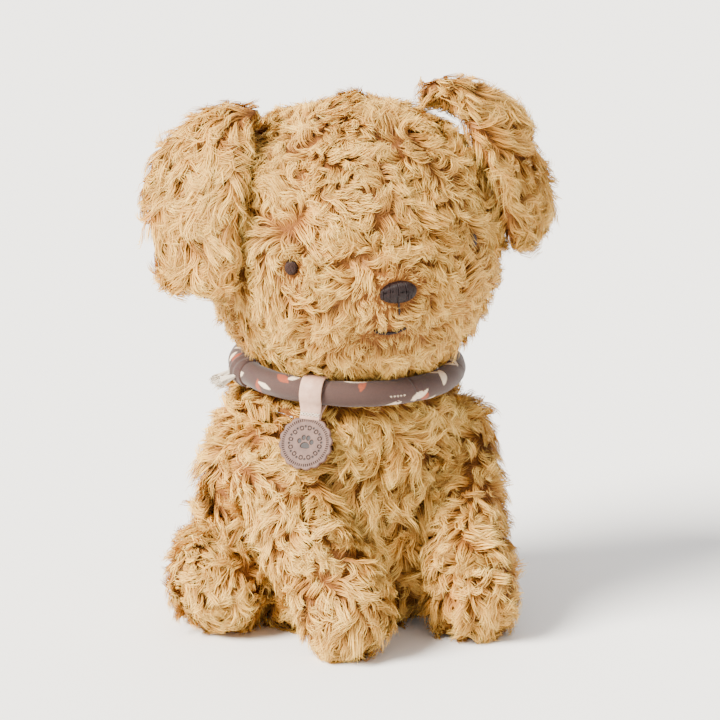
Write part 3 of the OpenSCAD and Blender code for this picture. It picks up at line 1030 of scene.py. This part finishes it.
def medallion_relief(x, z):
    """How deep the stamp goes at x and z from the medallion's middle, from 0 to 1.

    A ring of strokes runs round the rim, with dots and small rings inside it and a paw print in the middle.
    """
    rho, a = np.hypot(x, z), np.arctan2(z, x)

    def sideways(count):
        """How far across it lies from the nearest of so many spokes, in millimetres."""
        return rho * ((a * count / (2 * np.pi)) % 1 - 0.5) * 2 * np.pi / count

    def edge(inside):
        return np.clip(0.5 + inside / 0.14, 0, 1)

    deep = edge(np.minimum(0.16 - np.abs(sideways(STROKES)), 0.5 - np.abs(rho - 9.1)))
    number = np.floor(a * DOTS / (2 * np.pi)).astype(int)
    dots = 0.42 - np.hypot(sideways(DOTS), rho - 6.6)
    small_rings = 0.18 - np.abs(np.hypot(sideways(DOTS), rho - 6.1) - 0.75)
    deep = np.maximum(deep, edge(np.where(number % 2 == 0, dots, small_rings)))
    pad = 1.25 * (1 - np.hypot(x / 1.9, (z + 1.0 + 0.12 * x ** 2) / 1.25))
    deep = np.maximum(deep, edge(pad))
    for toe_x, toe_z in ((-2.5, 0.5), (-0.95, 2.0), (0.95, 2.0), (2.5, 0.5)):
        deep = np.maximum(deep, edge(0.8 - np.hypot(x - toe_x, 0.8 * (z - toe_z))))
    return deep


def make_medallion():
    rings, sides = 100, 720
    a = np.arange(sides) * 2 * np.pi / sides
    outline = MEDALLION_R - 0.7 + 0.7 * np.abs(np.sin(SCALLOPS * a / 2))
    share = np.linspace(0, 1, rings + 1)[1:, None]
    rho = share * outline[None, :]
    x, z = rho * np.cos(a), rho * np.sin(a)
    deep = medallion_relief(x, z)
    rounded = 0.3 * np.clip((share - 0.955) / 0.045, 0, 1) ** 2
    face_y = -MEDALLION_T / 2 + 0.3 * deep + rounded
    front = np.stack([x, face_y, z - MEDALLION_DROP], axis=-1).reshape(-1, 3)
    back = np.stack([x[-1], np.full(sides, MEDALLION_T / 2 - 0.2), z[-1] - MEDALLION_DROP], axis=-1)
    inner_z = 0.97 * z[-1] - MEDALLION_DROP
    inner = np.stack([0.97 * x[-1], np.full(sides, MEDALLION_T / 2), inner_z], axis=-1)
    middle = np.array([[0, -MEDALLION_T / 2 + 0.3, -MEDALLION_DROP]])
    points = on_tag(np.concatenate([front, back, inner, middle]))
    faces = bands(rings + 2, sides)
    faces.append([(rings + 1) * sides + j for j in range(sides)])
    faces += [[len(points) - 1, (j + 1) % sides, j] for j in range(sides)]
    thing = add_mesh("stamped_medallion", points, faces, MEDALLION)
    stamped = np.concatenate([deep.ravel(), np.zeros(2 * sides), [1]])
    attribute = thing.data.attributes.new("stamped", "FLOAT", "POINT")
    attribute.data.foreach_set("value", stamped.astype(np.float32))
    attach(thing, "tag")
    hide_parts("tag_medallion")


def make_tag_thread():
    """A cross stitch across the strap, below its loop."""
    shapes = []
    for row in (0, 1):
        zigzag = [[-3.9 + 1.3 * i, -1.05, -8.9 - 1.3 * ((i + row) % 2) - 0.1 * row] for i in range(7)]
        shapes.append(tube(on_tag(zigzag), 0.3))
    points, faces = join(shapes)
    thing = add_mesh("tag_cross_stitch", points, faces, TAG_THREAD)
    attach(thing, "tag")
    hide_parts("tag_stitches")


def make_strap():
    """One band of leather round the collar.

    Its back layer goes down behind the medallion, and its front layer ends above it.
    """
    loop_r = COLLAR_TUBE_R + 1.1
    path = [[1.3, -MEDALLION_DROP + 4], [1.3, -MEDALLION_DROP + 8], [1.25, -10.5], [1.2, -8.6]]
    path += [[loop_r * math.cos(a), loop_r * math.sin(a)] for a in np.radians(np.linspace(-62, 242, 44))]
    path += [[-0.35, -8.6], [-0.45, -10.3], [-0.5, -11.6]]
    path = np.array(path)
    heading = unit(np.gradient(path, axis=0))
    out = np.stack([heading[:, 1], -heading[:, 0]], axis=1)
    half, bevel = 0.42, 0.16
    width = np.where(path[:, 1] < -7.5, 8.2, 9.0) / 2
    profile = [(-1, -half + bevel), (-1 + 0.04, -half), (1 - 0.04, -half), (1, -half + bevel),
               (1, half - bevel), (1 - 0.04, half), (-1 + 0.04, half), (-1, half - bevel)]
    points = [[share * w, *(p + o * level)]
              for p, o, w in zip(path, out, width) for share, level in profile]
    faces = bar_faces(len(path), len(profile))
    thing = add_mesh("tag_leather_strap", on_tag(points), faces, STRAP)
    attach(thing, "tag")
    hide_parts("tag_strap")


make_medallion()
make_strap()
make_tag_thread()


# ---------- CAD nodes that show as they are, or lie inside ----------

def plain(node, material):
    """A CAD node that keeps its shape and takes a finish."""
    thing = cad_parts[node]
    thing.data.materials.clear()
    thing.data.materials.append(material)


plain("neck_seam", SEAM_THREAD)
plain("pellet_pouch", POUCH_CLOTH)
plain("pellets", PELLETS)
plain("collar_core", WADDING)
for stuffed in ("torso", "head", "tail"):
    plain(f"{stuffed}_stuffing", WADDING)
for side in ("right", "left"):
    plain(f"{side}_front_leg_stuffing", WADDING)
    plain(f"{side}_hind_leg_stuffing", WADDING)
    plain(f"{side}_ear_wadding", WADDING)


# ---------- stage, light and camera ----------

def make_stage():
    floor_material, tree, shader = new_material("pale_floor")
    shader.inputs["Base Color"].default_value = colour(244, 243, 241)
    shader.inputs["Roughness"].default_value = 0.9
    corners = [[x * FLOOR_REACH, y * FLOOR_REACH, 0] for x, y in ((-1, -1), (1, -1), (1, 1), (-1, 1))]
    floor = add_mesh("floor", corners, [[0, 1, 2, 3]], floor_material, smooth=False)

    world = bpy.data.worlds.new("studio")
    world.use_nodes = True
    tree = world.node_tree
    background = tree.nodes["Background"]
    background.inputs["Color"].default_value = colour(250, 249, 247)
    seen = add_node(tree, "LightPath").outputs["Is Camera Ray"]
    strength = add_node(tree, "MapRange", Value=seen, To_Min=WORLD_LIGHT, To_Max=WORLD_SEEN)
    tree.links.new(strength.outputs["Result"], background.inputs["Strength"])
    bpy.context.scene.world = world


def aim(thing, place, target):
    thing.location = Vector(place) * MM
    thing.rotation_mode = "QUATERNION"
    thing.rotation_quaternion = (Vector(target) - Vector(place)).to_track_quat("-Z", "Y")


def add_sun(name, azimuth, elevation, softness, strength, shade):
    """A far soft light, whose softness is the angle that it covers, in degrees."""
    lamp = bpy.data.lights.new(name, "SUN")
    lamp.angle = math.radians(softness)
    lamp.energy = strength
    lamp.color = shade[:3]
    thing = bpy.data.objects.new(name, lamp)
    bpy.context.scene.collection.objects.link(thing)
    a, e = math.radians(azimuth), math.radians(elevation)
    way = np.array([math.sin(a) * math.cos(e), -math.cos(a) * math.cos(e), math.sin(e)])
    aim(thing, VIEW_AIM + 1000 * way, VIEW_AIM)


def make_camera():
    azimuth, elevation = math.radians(CAMERA_AZIMUTH), math.radians(CAMERA_ELEVATION)
    back = np.array([math.sin(azimuth) * math.cos(elevation), -math.cos(azimuth) * math.cos(elevation),
                     math.sin(elevation)])
    right = np.array([math.cos(azimuth), math.sin(azimuth), 0])
    data = bpy.data.cameras.new("camera")
    data.sensor_width = SENSOR_W
    data.lens = SENSOR_W * CAMERA_DISTANCE / VIEW_W
    camera = bpy.data.objects.new("camera", data)
    bpy.context.scene.collection.objects.link(camera)
    target = VIEW_AIM + VIEW_SIDE * right
    aim(camera, target + CAMERA_DISTANCE * back, target)
    bpy.context.scene.camera = camera


make_stage()
add_sun("key", CAMERA_AZIMUTH - 58, 40, 28, 15.0, colour(255, 250, 240))
add_sun("back", CAMERA_AZIMUTH + 170, 55, 50, 1.0, colour(250, 250, 255))
make_camera()
